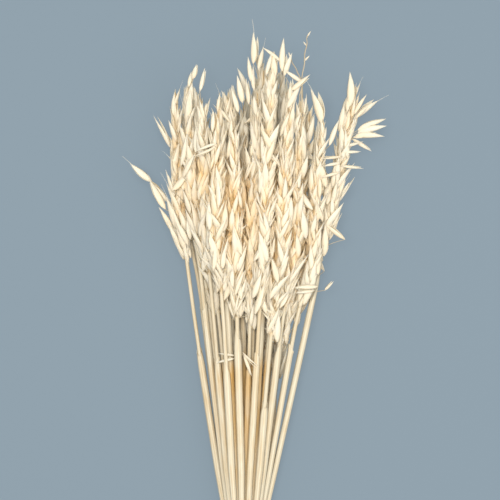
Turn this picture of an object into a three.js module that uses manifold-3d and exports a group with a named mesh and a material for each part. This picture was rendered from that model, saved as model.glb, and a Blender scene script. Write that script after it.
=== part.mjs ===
// A bundle of dried oats: 37 cut oat stalks, each a straw with its seed head grown on it, held together
// by one elastic band and lying on a table. Millimetres, +Z up. The stalks run along Y, heads towards +Y.
import Module from "manifold-3d";
import * as THREE from "three";
import { mergeVertices } from "three/addons/utils/BufferGeometryUtils.js";

const wasm = await Module();
wasm.setup();

// ---- The bundle ----
const BUNDLE_LENGTH = 632; // cut ends to the tip of the tallest head
const HEX_RINGS = 3; // rings of stems round the middle one, where the band holds them
const CLEARANCE = 0.5; // between any two stalks, and between the stalks and the band
const FAN_LEFT = -0.2; // sideways slope of the outermost stalks just above the band
const FAN_RIGHT = 0.235;
const FAN_LOOSE = 1.5; // above 1, stalks at the sides stand further apart than those in the middle
const FAN_UNEVEN = 0.04; // how much a stalk's own slope may differ from an even fan's
const STRAIGHTEN_LEFT = 0.95; // share of that slope that they have lost at the tip
const STRAIGHTEN_RIGHT = 0.25;
const RISE_BOTTOM = 0.017; // upward slope of the lowest and the highest row of stalks
const RISE_TOP = 0.1;
const TAIL_SPLAY = 0.35; // how much wider the cut ends are than the waist, as a share of it

// ---- One stalk ----
const SHEATH_RADIUS = 2.6; // lower stem, wrapped in its leaf sheath
const SHEATH_FLARE = 0.45; // how much stouter than at the band the stoutest sheath gets, as a share
const FLARE_LENGTH = 70; // length above the band over which it does
const STRAW_RADIUS = 1.9; // bare upper stem, from the sheath's collar to the head
const JOINT_SWELL = 0.45; // how far a stem joint stands out of the sheath
const JOINT_HALF = 3.5; // half the length of that swelling
const COLLAR_LOW = 0.6; // the sheath ends between these shares of the way from the band to the head
const COLLAR_HIGH = 0.97;
const COLLAR_STEP = 2; // length over which it ends
const HEAD_LENGTH = 275; // longest seed head
const HEAD_VARIATION = 0.2; // how much shorter the shortest is, as a share
const LOW_LONGER = 0.35; // how much further down the heads of the bottom row reach at the right, as a share
const HEAD_RADIUS = 8.8; // stoutest seed head
const HEAD_SWELL = 0.8; // below 1, the head is stoutest below its middle
const HEAD_FULLNESS = 0.75; // below 1, the head keeps its girth towards both ends
const CUT_SPREAD = 14; // how unevenly the ends are cut
const SIDES = 7;

// ---- The elastic band ----
const BAND_HEIGHT = 150; // cut ends to the band's middle
const BAND_WIDTH = 9;
const BAND_THICKNESS = 1.5;

// ---- The heads across the fan, from its left edge at -1 to its right edge at 1 ----
// Each row: place, how much lower than the tallest head they end, share of the longest head's length.
const CROWN = [
  [-1, 54, 0.62],
  [-0.8, 42, 0.62],
  [-0.5, 64, 0.68],
  [-0.3, 60, 0.8],
  [-0.15, 48, 0.86],
  [0, 40, 0.9],
  [0.2, 8, 1],
  [0.36, 14, 0.96],
  [0.5, 28, 0.92],
  [0.67, 58, 0.88],
  [0.83, 80, 0.74],
  [1, 48, 0.72],
];
const TIP_SPREAD = 40; // how unevenly neighbours end

// ---- Side sprays, the drooping branches that stand out of the two outermost heads ----
const SPRAYS = {
  left: { leaves: 0.04, rises: 86, out: 62, curl: 2.4, grain: 3.4, grainLength: 34 },
  right: { leaves: 0.66, rises: 42, out: 36, curl: 1.6, grain: 4.2, grainLength: 26 },
};
const SPRAY_RADIUS = 1.1; // where it leaves the head
const SPRAY_STEPS = 8;

// ---- How the pile settles ----
const HEAD_STEP = 26; // spacing of the stations where the stalks' places are worked out
const STEM_STEP = 52;
const SETTLE_PASSES = 260;
const PART_PASSES = 400; // at most so many more, which only part what still touches
const TOLERANCE = 0.03; // how much of the clearance may be missing at the end
const HOME_PULL = 0.03;
const STIFFNESS = 0.25;

const pitch = 2 * SHEATH_RADIUS + CLEARANCE;
const rowRise = pitch * Math.sin(Math.PI / 3);
const bandInner = SHEATH_RADIUS + CLEARANCE; // from a corner stem's middle to the band
const waistHeight = BAND_THICKNESS + bandInner + HEX_RINGS * rowRise;
const bandBottom = BAND_HEIGHT - BAND_WIDTH / 2;
const bandTop = BAND_HEIGHT + BAND_WIDTH / 2;

const mix = THREE.MathUtils.lerp;
const clamp01 = (value) => THREE.MathUtils.clamp(value, 0, 1);
// The same spread of values in [-1, 1] on every run: one for each stalk and trait.
const spread = (stalk, trait) => 2 * ((stalk * 0.618034 + trait * 0.754878 + 0.31) % 1) - 1;

// Stations along Y, the same for every stalk. Two lie on the band's edges, so stems are straight inside it.
function stationsAlong() {
  const below = [0, bandBottom / 2, bandBottom];
  const stemEnd = BUNDLE_LENGTH - HEAD_LENGTH - TIP_SPREAD;
  const stemCount = Math.max(1, Math.round((stemEnd - bandTop) / STEM_STEP));
  const headCount = Math.max(1, Math.round((BUNDLE_LENGTH - stemEnd) / HEAD_STEP));
  const stems = [...Array(stemCount).keys()].map((k) => mix(bandTop, stemEnd, k / stemCount));
  const heads = [...Array(headCount + 1).keys()].map((k) => mix(stemEnd, BUNDLE_LENGTH, k / headCount));
  return [...below, ...stems, ...heads];
}

// The stalks' seats in the waist: a hexagon of rings, in steps of the pitch, with each row's half steps.
function seats() {
  const found = [];
  for (let row = -HEX_RINGS; row <= HEX_RINGS; row += 1) {
    const across = 2 * HEX_RINGS - Math.abs(row);
    for (let k = 0; k <= across; k += 1) found.push({ column: k - across / 2, row });
  }
  return found;
}

function crownAt(side) {
  const next = Math.max(1, CROWN.findIndex(([place]) => place >= side));
  const [[fromPlace, ...from], [toPlace, ...to]] = [CROWN[next - 1], CROWN[next]];
  const share = (side - fromPlace) / (toPlace - fromPlace);
  const [drop, length] = from.map((value, k) => mix(value, to[k], share));
  return { drop, length };
}

function makeStalk({ column, row }, index) {
  const side = column / HEX_RINGS; // -1 at the left edge of the fan, 1 at the right
  const crown = crownAt(side);
  const tip = BUNDLE_LENGTH - crown.drop - (TIP_SPREAD / 2) * (1 - spread(index, 1)) * (1 - side * side);
  const longer = 1 + LOW_LONGER * clamp01(-row / HEX_RINGS) * clamp01(0.5 + side);
  const shorter = 1 - (HEAD_VARIATION / 2) * (1 + spread(index, 2));
  const headLength = HEAD_LENGTH * crown.length * longer * shorter;
  const girth = 0.9 + 0.1 * spread(index, 3);
  const head = tip - headLength;
  return {
    name: `oat_stalk_${String(index + 1).padStart(2, "0")}`,
    side,
    column,
    row,
    tip,
    head,
    headRadius: HEAD_RADIUS * girth,
    stray: FAN_UNEVEN * spread(index, 8) * (1 - side * side),
    flare: SHEATH_FLARE * clamp01((row / HEX_RINGS + 1 + spread(index, 7)) / 2), // stoutest in the top rows
    cut: (CUT_SPREAD / 2) * (1 + spread(index, 4)),
    joint: mix(0.4, 0.72, (1 + spread(index, 5)) / 2) * bandBottom,
    collar: mix(bandTop, head, mix(COLLAR_LOW, COLLAR_HIGH, (1 + spread(index, 6)) / 2)),
  };
}

// A stalk's radius at a height: swollen at its joint, sheathed to the collar and stouter above the band,
// bare straw, then the head.
function radiusAt(stalk, y) {
  if (y < stalk.cut || y > stalk.tip) return 0;
  if (y <= stalk.head) {
    const swell = JOINT_SWELL * clamp01(1 - Math.abs(y - stalk.joint) / JOINT_HALF);
    const sheath = SHEATH_RADIUS * (1 + stalk.flare * clamp01((y - bandTop) / FLARE_LENGTH));
    return mix(sheath, STRAW_RADIUS, clamp01((y - stalk.collar) / COLLAR_STEP)) + swell;
  }
  const along = (y - stalk.head) / (stalk.tip - stalk.head);
  const fullness = Math.sin(Math.PI * along ** HEAD_SWELL) ** HEAD_FULLNESS;
  return mix(STRAW_RADIUS * (1 - along), stalk.headRadius, fullness);
}

// Where a stalk would lie with nothing in its way: gathered by the band, fanned out above it.
function homeAt(stalk, y) {
  const seatX = stalk.column * pitch;
  const seatZ = waistHeight + stalk.row * rowRise;
  if (y < BAND_HEIGHT) {
    const splay = 1 + TAIL_SPLAY * Math.max(0, (bandBottom - y) / bandBottom);
    return { x: seatX * splay, z: mix(seatZ, SHEATH_RADIUS, 1 - 1 / splay) };
  }
  const above = Math.max(0, y - bandTop);
  const reach = above / (BUNDLE_LENGTH - bandTop);
  const widest = stalk.side < 0 ? FAN_LEFT : FAN_RIGHT;
  const slope = widest * Math.abs(stalk.side) ** FAN_LOOSE + stalk.stray;
  const straighten = stalk.side < 0 ? STRAIGHTEN_LEFT : STRAIGHTEN_RIGHT;
  const kept = 1 - (straighten / 2) * reach * Math.abs(stalk.side);
  const rise = mix(RISE_BOTTOM, RISE_TOP, (stalk.row / HEX_RINGS + 1) / 2);
  return { x: seatX + slope * kept * above, z: seatZ + rise * above };
}

// Where parting is tested: at each station, and midway between it and the next.
function levelsOf(stations) {
  const levels = [];
  stations.forEach((y, k) => {
    levels.push({ y, a: k, b: k });
    if (k + 1 < stations.length) levels.push({ y: (y + stations[k + 1]) / 2, a: k, b: k + 1 });
  });
  return levels;
}

// The stoutest a stalk is between the levels on either side of this one.
function stoutestNear(stalk, levels, index) {
  const low = levels[Math.max(0, index - 1)].y;
  const high = levels[Math.min(levels.length - 1, index + 1)].y;
  const samples = [0.1, 0.3, 0.5, 0.7, 0.9].map((share) => radiusAt(stalk, mix(low, high, share)));
  return Math.max(radiusAt(stalk, levels[index].y), ...samples);
}

// Lets the stalks settle: each keeps near its home and bends little, none enters another or the table.
function settle(stalks, stations) {
  const levels = levelsOf(stations);
  const radii = stalks.map((stalk) => levels.map((_, index) => stoutestNear(stalk, levels, index)));
  const homes = stalks.map((stalk) => stations.map((y) => homeAt(stalk, y)));
  const places = homes.map((line) => line.map((point) => ({ ...point })));
  const held = (k) => stations[k] >= bandBottom && stations[k] <= bandTop;

  const shift = (line, { a, b }, dx, dz) => {
    for (const k of a === b ? [a] : [a, b]) {
      if (held(k)) continue;
      line[k].x += dx;
      line[k].z += dz;
    }
  };
  const middle = (line, { a, b }) => ({ x: (line[a].x + line[b].x) / 2, z: (line[a].z + line[b].z) / 2 });

  const part = (level, index) => {
    let worst = 0;
    for (let i = 0; i < stalks.length; i += 1) {
      if (!radii[i][index]) continue;
      const lift = radii[i][index] - middle(places[i], level).z;
      if (lift > 0) shift(places[i], level, 0, lift);
      worst = Math.max(worst, lift);
      for (let j = 0; j < i; j += 1) {
        if (!radii[j][index]) continue;
        const p = middle(places[i], level);
        const q = middle(places[j], level);
        const [dx, dz] = [p.x - q.x, p.z - q.z];
        const apart = Math.hypot(dx, dz) || 1e-6;
        const short = radii[i][index] + radii[j][index] + CLEARANCE - apart;
        if (short <= 0) continue;
        worst = Math.max(worst, short);
        shift(places[i], level, (dx / apart) * (short / 2), (dz / apart) * (short / 2));
        shift(places[j], level, (-dx / apart) * (short / 2), (-dz / apart) * (short / 2));
      }
    }
    return worst;
  };
  const relax = (line, home) => {
    for (let k = 0; k < stations.length; k += 1) {
      if (held(k)) continue;
      const [before, after] = [line[k - 1] ?? line[k], line[k + 1] ?? line[k]];
      for (const axis of ["x", "z"]) {
        line[k][axis] += HOME_PULL * (home[k][axis] - line[k][axis]);
        if (k === 0 || k === stations.length - 1) continue;
        const share = (stations[k] - stations[k - 1]) / (stations[k + 1] - stations[k - 1]);
        line[k][axis] += STIFFNESS * (mix(before[axis], after[axis], share) - line[k][axis]);
      }
    }
  };

  for (let pass = 0; pass < SETTLE_PASSES + PART_PASSES; pass += 1) {
    if (pass < SETTLE_PASSES) places.forEach((line, i) => relax(line, homes[i]));
    const worst = Math.max(...levels.map(part));
    if (pass >= SETTLE_PASSES && worst < TOLERANCE) break;
  }
  return places;
}

// A stalk's middle at any height, straight between stations.
function middleAt(line, stations, y) {
  const next = Math.max(1, stations.findIndex((station) => station >= y));
  const share = (y - stations[next - 1]) / (stations[next] - stations[next - 1]);
  return { x: mix(line[next - 1].x, line[next].x, share), z: mix(line[next - 1].z, line[next].z, share) };
}

// A round solid along Y whose rings are moved sideways onto a line: its outline is turned about Y first.
function solidAlong(outline, lineAt) {
  const geometry = new THREE.LatheGeometry(outline, SIDES);
  const place = geometry.attributes.position;
  for (let i = 0; i < place.count; i += 1) {
    const at = lineAt(place.getY(i));
    place.setXYZ(i, place.getX(i) + at.x, place.getY(i), place.getZ(i) + at.z);
  }
  return geometry;
}

function stalkSolid(stalk, line, stations) {
  const inside = stations.filter((y) => y > stalk.cut + 1 && y < stalk.tip - 1);
  const marks = [stalk.joint - JOINT_HALF, stalk.joint, stalk.joint + JOINT_HALF];
  marks.push(stalk.collar, stalk.collar + COLLAR_STEP, stalk.head);
  const heights = [...inside, ...marks, stalk.cut].sort((a, b) => a - b);
  const outline = [new THREE.Vector2(0, stalk.cut)];
  for (const y of heights) outline.push(new THREE.Vector2(radiusAt(stalk, y), y));
  outline.push(new THREE.Vector2(0, stalk.tip));
  return solidAlong(outline, (y) => middleAt(line, stations, y));
}

// A spray leaves the middle of the head at a share of its length, curls outwards and ends in a long grain.
function spraySolid(stalk, line, stations, spray) {
  const base = mix(stalk.head, stalk.tip, spray.leaves);
  const start = middleAt(line, stations, base);
  const grainShare = Math.min(0.8, spray.grainLength / Math.hypot(spray.rises, spray.out));
  const outline = [new THREE.Vector2(0, base)];
  for (let k = 0; k < SPRAY_STEPS; k += 1) {
    const along = k / SPRAY_STEPS;
    const inGrain = clamp01((along - 1 + grainShare) / grainShare);
    const radius = Math.max(SPRAY_RADIUS, spray.grain * Math.sin(Math.PI * inGrain ** HEAD_SWELL));
    outline.push(new THREE.Vector2(radius, base + spray.rises * along + 0.5));
  }
  outline.push(new THREE.Vector2(0, base + spray.rises + 1));
  const curled = (y) => Math.sign(stalk.side) * spray.out * clamp01((y - base) / spray.rises) ** spray.curl;
  return solidAlong(outline, (y) => ({ x: start.x + curled(y), z: start.z }));
}

function toManifold(geometry) {
  const bare = geometry.clone();
  bare.deleteAttribute("normal");
  bare.deleteAttribute("uv");
  const merged = mergeVertices(bare, 1e-3);
  const corners = merged.index.array;
  const triVerts = [];
  for (let i = 0; i < corners.length; i += 3) {
    const [a, b, c] = corners.slice(i, i + 3);
    if (a !== b && b !== c && c !== a) triVerts.push(a, b, c);
  }
  const vertProperties = merged.attributes.position.array;
  const mesh = new wasm.Mesh({ numProp: 3, vertProperties, triVerts: new Uint32Array(triVerts) });
  return new wasm.Manifold(mesh);
}

// Two solids that overlap, as one.
function joined(first, second) {
  const result = toManifold(first).add(toManifold(second)).getMesh();
  const geometry = new THREE.BufferGeometry();
  geometry.setAttribute("position", new THREE.BufferAttribute(result.vertProperties, 3));
  geometry.setIndex(new THREE.BufferAttribute(result.triVerts, 1));
  return geometry;
}

function stalkMesh(stalk, line, stations, material) {
  let geometry = stalkSolid(stalk, line, stations);
  if (Math.abs(stalk.side) === 1) {
    const spray = stalk.side < 0 ? SPRAYS.left : SPRAYS.right;
    geometry = joined(geometry, spraySolid(stalk, line, stations, spray));
  }
  const root = middleAt(line, stations, stalk.cut);
  geometry.translate(-root.x, -stalk.cut, -root.z);
  const mesh = new THREE.Mesh(geometry, material);
  mesh.name = stalk.name;
  mesh.position.set(root.x, stalk.cut, root.z);
  return mesh;
}

// A hexagon round the waist's corner stems, with its corners rounded to the given radius.
function roundedHexagon(Path, cornerRadius) {
  const path = new Path();
  const corner = HEX_RINGS * pitch;
  for (let k = 0; k < 6; k += 1) {
    const angle = (k * Math.PI) / 3;
    const half = Math.PI / 6;
    path.absarc(corner * Math.cos(angle), corner * Math.sin(angle), cornerRadius, angle - half, angle + half);
  }
  path.closePath();
  return path;
}

function bandMesh(material) {
  const shape = roundedHexagon(THREE.Shape, bandInner + BAND_THICKNESS);
  shape.holes.push(roundedHexagon(THREE.Path, bandInner));
  const options = { depth: BAND_WIDTH, bevelEnabled: false, curveSegments: 4 };
  const mesh = new THREE.Mesh(new THREE.ExtrudeGeometry(shape, options), material);
  mesh.name = "elastic_band";
  mesh.rotation.x = Math.PI / 2;
  mesh.position.set(0, bandTop, waistHeight);
  return mesh;
}

const straw = new THREE.MeshStandardMaterial({ color: 0xf1e6c4, roughness: 0.6, metalness: 0 });
const rubber = new THREE.MeshStandardMaterial({ color: 0xd9c39a, roughness: 0.55, metalness: 0 });

const stations = stationsAlong();
const stalks = seats().map(makeStalk);
const places = settle(stalks, stations);

const bundle = new THREE.Group();
stalks.forEach((stalk, i) => bundle.add(stalkMesh(stalk, places[i], stations, straw)));
bundle.add(bandMesh(rubber));

// The origin is the middle of the bundle's footprint on the table.
const box = new THREE.Box3().setFromObject(bundle, true);
const centre = box.getCenter(new THREE.Vector3());
bundle.position.set(-centre.x, -centre.y, -box.min.z);

const group = new THREE.Group();
group.add(bundle);
export default group;
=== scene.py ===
"""A bundle of bleached dried oats lying on a table: straws, sheaths, husks, awns and the elastic band.

Each stalk's line and girth are read from its solid in the frame. Lengths are millimetres until a mesh is
written, which is in metres.
"""

import logging
import math
from dataclasses import dataclass, field
from enum import Enum

import bpy
import numpy as np
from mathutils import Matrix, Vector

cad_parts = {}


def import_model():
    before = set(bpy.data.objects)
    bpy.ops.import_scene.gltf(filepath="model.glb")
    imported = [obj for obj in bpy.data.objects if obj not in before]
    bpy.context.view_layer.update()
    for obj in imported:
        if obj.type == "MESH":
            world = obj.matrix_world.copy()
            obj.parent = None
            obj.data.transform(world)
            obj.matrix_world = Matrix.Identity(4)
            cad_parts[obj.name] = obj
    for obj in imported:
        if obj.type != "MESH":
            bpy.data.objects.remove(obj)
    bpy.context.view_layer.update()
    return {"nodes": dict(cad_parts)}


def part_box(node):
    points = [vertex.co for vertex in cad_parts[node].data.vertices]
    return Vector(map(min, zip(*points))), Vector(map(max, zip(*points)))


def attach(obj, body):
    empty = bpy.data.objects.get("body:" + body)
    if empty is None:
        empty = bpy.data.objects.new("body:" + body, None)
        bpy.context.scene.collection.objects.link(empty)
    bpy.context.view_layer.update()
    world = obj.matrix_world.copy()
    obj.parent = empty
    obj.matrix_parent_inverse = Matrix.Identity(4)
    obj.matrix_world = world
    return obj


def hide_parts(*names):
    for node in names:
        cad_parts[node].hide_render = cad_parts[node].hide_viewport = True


LOG = logging.getLogger("dried_oats")
MM = 0.001
ROOT = "root"
BAND = "elastic_band"
FLOOR_CLEARANCE = 0.25  # what lies on the table keeps this much above it
GOLDEN_ANGLE = math.pi * (3 - math.sqrt(5))
FULL_TURN = 2 * math.pi


# ---- Colour and shader nodes ----


def linear(hex_colour: str, alpha: float = 1.0) -> tuple[float, float, float, float]:
    """Turns an sRGB hex colour into the linear one that shaders take.

    Args:
        hex_colour: Six hex digits, red first.
        alpha: The fourth channel.

    Returns:
        Linear red, green, blue and alpha.
    """
    channels = [int(hex_colour[k : k + 2], 16) / 255 for k in (0, 2, 4)]
    red, green, blue = (c / 12.92 if c <= 0.04045 else ((c + 0.055) / 1.055) ** 2.4 for c in channels)
    return red, green, blue, alpha


def add_node(
    material: bpy.types.Material, kind: str, settings: dict | None = None, **links: object
) -> bpy.types.Node:
    """Adds one shader node with its settings, and sets or links its inputs.

    Args:
        material: The material that gets the node.
        kind: Blender's name for the kind of node, without its ShaderNode prefix.
        settings: Values of the node's own properties.
        links: An output socket to link or a value to set for each input, which is given by its name with
            underscores for spaces, or by in_ and its number.

    Returns:
        The new node.
    """
    node = material.node_tree.nodes.new(f"ShaderNode{kind}")
    for key, value in (settings or {}).items():
        setattr(node, key, value)
    for key, value in links.items():
        socket = node.inputs[int(key[3:])] if key.startswith("in_") else node.inputs[key.replace("_", " ")]
        if isinstance(value, bpy.types.NodeSocket):
            material.node_tree.links.new(value, socket)
        else:
            socket.default_value = value
    return node


def calculate(
    material: bpy.types.Material, operation: str, *values: object, clamp: bool = False
) -> bpy.types.NodeSocket:
    """Adds a node that calculates with sockets and values.

    Args:
        material: The material that gets the node.
        operation: Blender's name for what it does.
        values: Its inputs in order, output sockets or values.
        clamp: Keeps the result in 0 to 1.

    Returns:
        The result's socket.
    """
    links = {f"in_{k}": value for k, value in enumerate(values)}
    return add_node(material, "Math", {"operation": operation, "use_clamp": clamp}, **links).outputs[0]


def mix(
    material: bpy.types.Material, share: object, first: object, second: object, blend: str = "MIX"
) -> bpy.types.NodeSocket:
    """Adds a node that mixes two colours.

    Args:
        material: The material that gets the node.
        share: How much of the second colour it takes, an output socket or a value.
        first: The first colour, an output socket or a value.
        second: The second colour, likewise.
        blend: Blender's name for how the second colour acts on the first.

    Returns:
        The mixed colour's socket.
    """
    settings = {"data_type": "RGBA", "blend_type": blend}
    return add_node(material, "Mix", settings, in_0=share, in_6=first, in_7=second).outputs[2]


def attribute(material: bpy.types.Material, name: str, output: str = "Fac") -> bpy.types.NodeSocket:
    """Adds a node that reads an attribute of the mesh, as one value or as a vector."""
    return add_node(material, "Attribute", {"attribute_name": name}).outputs[output]


def new_material(name: str) -> bpy.types.Material:
    """Makes a material with an empty node tree."""
    material = bpy.data.materials.new(name)
    material.use_nodes = True
    material.node_tree.nodes.clear()
    return material


@dataclass(frozen=True)
class Bleached:
    """Bleached plant skin: cellulose with its green and most of its brown taken out, dried and left uncoated.

    It looks like matt ivory paper with a faint silky line along the fibres. Skins inside the bundle get a
    painted golden shade, which makes the gaps among them golden and not grey.
    """

    name: str
    pale: str  # where the bleach took most
    warm: str  # where it took least
    painted_gold_shade: str  # painted golden shade for skins inside the bundle and near a head's axis
    glow: str  # what light looks like after it has gone through
    see_through: float  # share of the light that goes through
    roughness: float
    ribs: float  # ribs across one skin, edge to edge
    rib_depth: float  # of the ribs, in metres
    painted_rib_shade: float  # painted shade: how much darker the valleys between ribs are
    streaks: float  # fine streaks across one skin
    foot: float = 0.0  # how much warmer a skin is towards its foot
    uneven: float = 0.22  # how far streaks are from the skin's own shade
    breaks: float = 2.2  # how often a streak breaks off along one skin
    apart: float = 61.0  # how far apart in the noise two skins can lie, so that no two are alike

    def make(self) -> bpy.types.Material:
        """Builds the material.

        Returns:
            A material that reads the grain, tint and painted shade attributes of the mesh that it is on.
        """
        material = new_material(self.name)
        tint, painted_shade_share = attribute(material, "tint"), attribute(material, "painted_shade_share")
        grain = add_node(material, "SeparateXYZ", Vector=attribute(material, "grain", "Vector"))
        across, along, own = (grain.outputs[axis] for axis in "XYZ")

        # Ribs run the whole length of a skin, so only the place across it counts.
        wave = calculate(material, "COSINE", calculate(material, "MULTIPLY", across, self.ribs * math.pi))
        rib = add_node(material, "MapRange", Value=wave, From_Min=-1.0, From_Max=1.0).outputs[0]

        # Streaks are much longer than wide: the noise is stretched along the skin and differs on every one.
        stretched = (
            calculate(material, "MULTIPLY", place, scale)
            for place, scale in ((across, self.streaks), (along, self.breaks), (own, self.apart))
        )
        place = add_node(material, "CombineXYZ", **dict(zip("XYZ", stretched)))
        noise = add_node(material, "TexNoise", Vector=place.outputs[0], Scale=1.0, Detail=3.0, Roughness=0.6)
        streak = noise.outputs[0]

        # Bleach reached each skin unevenly: a base shade of its own, and streaks of more and less.
        uneven = add_node(
            material, "MapRange",
            Value=streak, From_Min=0.3, From_Max=0.7, To_Min=-self.uneven, To_Max=self.uneven,
        )
        footing = add_node(material, "MapRange", Value=along, From_Max=0.6, To_Min=self.foot, To_Max=0.0)
        own_level = calculate(material, "ADD", tint, footing.outputs[0])
        level = calculate(material, "ADD", own_level, uneven.outputs[0], clamp=True)
        outside = mix(material, level, linear(self.pale), linear(self.warm))
        # Painted shade: skins inside the bundle and near a head's axis are mixed towards a golden colour.
        colour = mix(material, painted_shade_share, outside, linear(self.painted_gold_shade))
        # Painted shade: the valleys between the ribs are darker.
        painted_valley_shade = add_node(material, "MapRange", Value=rib, To_Min=1 - self.painted_rib_shade, To_Max=1.0)
        shaded = mix(material, 1.0, colour, painted_valley_shade.outputs[0], "MULTIPLY")

        height = calculate(material, "MULTIPLY_ADD", streak, 0.5, rib)
        bump = add_node(material, "Bump", Strength=0.6, Distance=self.rib_depth, Height=height).outputs[0]
        skin = add_node(
            material, "BsdfPrincipled", Base_Color=shaded, Roughness=self.roughness,
            IOR=1.47, Specular_IOR_Level=0.35, Normal=bump,
        )
        through = add_node(material, "BsdfTranslucent", Color=linear(self.glow), Normal=bump)
        both = add_node(
            material, "MixShader", in_0=self.see_through, in_1=skin.outputs[0], in_2=through.outputs[0]
        )
        add_node(material, "OutputMaterial", Surface=both.outputs[0])
        return material


@dataclass(frozen=True)
class Latex:
    """Natural rubber, moulded and cut into bands: satin, tan and a little cloudy."""

    name: str = "natural_latex_moulded"
    colour: str = "D6B681"
    clouded: str = "C9A46A"

    def make(self) -> bpy.types.Material:
        """Builds the material."""
        material = new_material(self.name)
        place = add_node(material, "TexCoord").outputs["Object"]
        # Dust and stretch marks a few millimetres apart.
        cloud = add_node(material, "TexNoise", Vector=place, Scale=260.0, Detail=4.0).outputs[0]
        colour = mix(material, cloud, linear(self.colour), linear(self.clouded))
        rough = add_node(material, "MapRange", Value=cloud, To_Min=0.38, To_Max=0.6)
        bump = add_node(material, "Bump", Strength=0.3, Distance=0.0001, Height=cloud)
        skin = add_node(
            material, "BsdfPrincipled", Base_Color=colour, Roughness=rough.outputs[0],
            IOR=1.52, Subsurface_Weight=0.15, Subsurface_Scale=0.001, Normal=bump.outputs[0],
        )
        add_node(material, "OutputMaterial", Surface=skin.outputs[0])
        return material


@dataclass(frozen=True)
class Backdrop:
    """Matt blue-grey sheet over a light table, so that shadows on it stay soft and pale."""

    name: str = "backlit_matt_sheet"
    colour: str = "3A434B"
    lit: str = "94A5B0"
    strength: float = 0.66

    def make(self) -> bpy.types.Material:
        """Builds the material."""
        material = new_material(self.name)
        skin = add_node(
            material, "BsdfPrincipled", Base_Color=linear(self.colour), Roughness=0.95,
            Specular_IOR_Level=0.1, Emission_Color=linear(self.lit), Emission_Strength=self.strength,
        )
        add_node(material, "OutputMaterial", Surface=skin.outputs[0])
        return material


STRAW = Bleached(
    name="bleached_oat_straw", pale="CDC5B0", warm="BFA880", painted_gold_shade="C7A264", glow="F3DCA2", see_through=0.15,
    roughness=0.55, ribs=7.0, rib_depth=0.0002, painted_rib_shade=0.16, streaks=4.5, uneven=0.5,
)
HUSK = Bleached(
    name="bleached_oat_husk", pale="F0F1EC", warm="F0EADA", painted_gold_shade="FADFAC", glow="FFF4DA", see_through=0.5,
    roughness=0.6, ribs=7.0, rib_depth=0.0002, painted_rib_shade=0.12, streaks=6.0, foot=0.45,
)


# ---- Meshes ----


@dataclass
class Shape:
    """A closed shape: points, faces with four and three corners, and each point's place on the grain."""

    points: np.ndarray
    quads: np.ndarray
    triangles: np.ndarray
    grain: np.ndarray


def circle(count: int) -> np.ndarray:
    """Angles spaced evenly round a ring."""
    return np.linspace(0, FULL_TURN, count, endpoint=False)


def around(angle: np.ndarray, girth: np.ndarray | float = 1.0) -> np.ndarray:
    """Points round the Y axis at some angles, as far off it as the girth."""
    return np.stack([np.cos(angle) * girth, np.zeros_like(angle), np.sin(angle) * girth], axis=-1)


def grain_of(across: np.ndarray, along: np.ndarray) -> np.ndarray:
    """Places on the grain, as (ring, side, 2), from those round a ring and those along the rings."""
    return np.stack(np.broadcast_arrays(across[None, :], along[:, None]), axis=-1)


def loft_faces(rings: int, sides: int, wrapped: bool = False) -> tuple[np.ndarray, np.ndarray]:
    """Numbers the faces of a loft, facing out.

    Args:
        rings: How many rings it has.
        sides: How many points each ring has.
        wrapped: Joins the last ring to the first, in place of closing both ends on a point.

    Returns:
        The four-cornered and three-cornered faces. Points are in the order start, rings, end, or rings alone.
    """
    first = 0 if wrapped else 1
    ring = np.arange(rings if wrapped else rings - 1)[:, None]
    side = np.arange(sides)[None, :]
    here, after = first + ring * sides, first + ((ring + 1) % rings) * sides
    turned = (side + 1) % sides
    quads = np.stack([here + side, after + side, after + turned, here + turned], axis=-1).reshape(-1, 4)
    if wrapped:
        return quads, np.empty((0, 3), int)
    last = first + (rings - 1) * sides
    k = np.arange(sides)
    following = (k + 1) % sides
    start = np.stack([np.zeros(sides, int), first + k, first + following], axis=-1)
    end = np.stack([np.full(sides, last + sides), last + following, last + k], axis=-1)
    return quads, np.concatenate([start, end])


def loft(rings: np.ndarray, start: np.ndarray, end: np.ndarray, grain: np.ndarray) -> Shape:
    """Skins over rings of points and closes both ends on a point.

    Args:
        rings: Points as (ring, side, axis).
        start: The point below the first ring.
        end: The point above the last ring.
        grain: Place across and along the skin, as (ring, side, 2).

    Returns:
        The closed shape.
    """
    count, sides = rings.shape[:2]
    quads, triangles = loft_faces(count, sides)
    points = np.concatenate([[start], rings.reshape(-1, 3), [end]])
    ends = np.array([[0.0, grain[0, 0, 1]], [0.0, grain[-1, 0, 1]]])
    return Shape(points, quads, triangles, np.concatenate([ends[:1], grain.reshape(-1, 2), ends[1:]]))


def between(places: np.ndarray, known: np.ndarray, points: np.ndarray) -> np.ndarray:
    """Points at some places along a line of straight pieces.

    Args:
        places: Where along the line.
        known: The places of the line's own points, in rising order.
        points: Those points.

    Returns:
        One point for each place.
    """
    return np.stack([np.interp(places, known, column) for column in points.T], axis=-1)


def unit(vectors: np.ndarray) -> np.ndarray:
    """Vectors at length one."""
    return vectors / np.maximum(np.linalg.norm(vectors, axis=-1, keepdims=True), 1e-9)


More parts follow.
